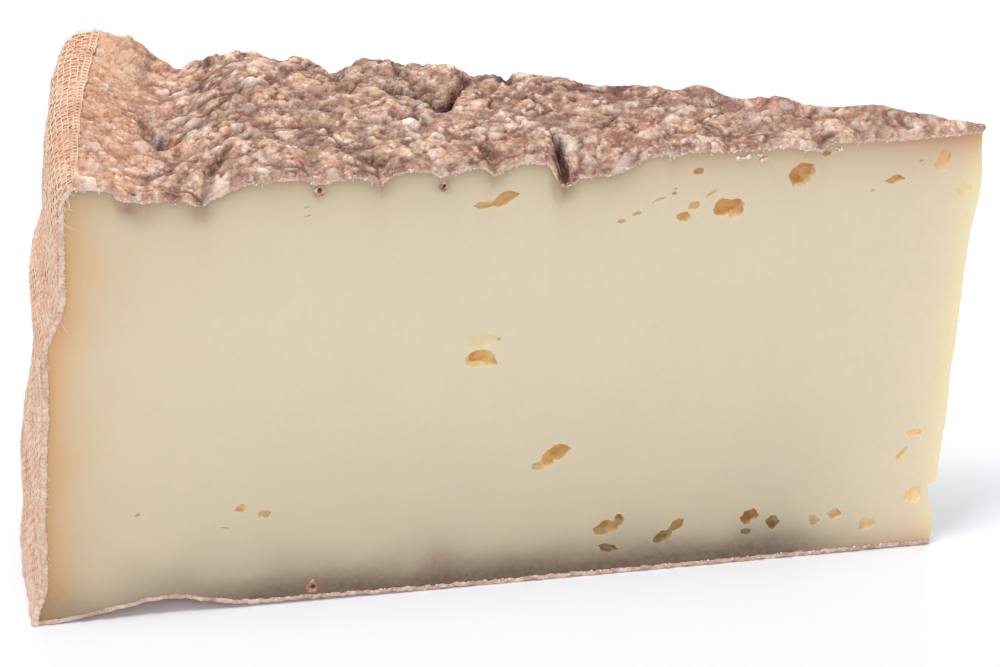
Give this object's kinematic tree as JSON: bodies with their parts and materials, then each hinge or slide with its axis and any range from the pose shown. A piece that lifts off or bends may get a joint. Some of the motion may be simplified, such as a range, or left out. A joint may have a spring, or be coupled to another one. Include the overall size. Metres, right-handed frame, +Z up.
{
  "type": "vacherin fribourgeois cheese wedge",
  "caption": "Wedge cut from a wheel of semi-hard washed-rind cheese, with small eyes in its cut faces and a gauze band round the wheel's side.",
  "frame": {"origin": "on the ground under the middle of the wedge's box", "axes": "+X towards the tip, along the front cut face; +Y from the front cut face back into the cheese; +Z up"},
  "size_m": [0.1626, 0.0532, 0.09],
  "materials": {
    "paste": "smooth cream-coloured cheese paste under a rough pinkish-brown rind",
    "rind": "rough, lumpy, pinkish-brown washed rind with pale flecks",
    "gauze": "open cotton weave grown into the rind, pinkish tan"
  },
  "bodies": {
    "root": {"cheese": "paste", "gauze_band": "gauze"}
  },
  "joints": []
}
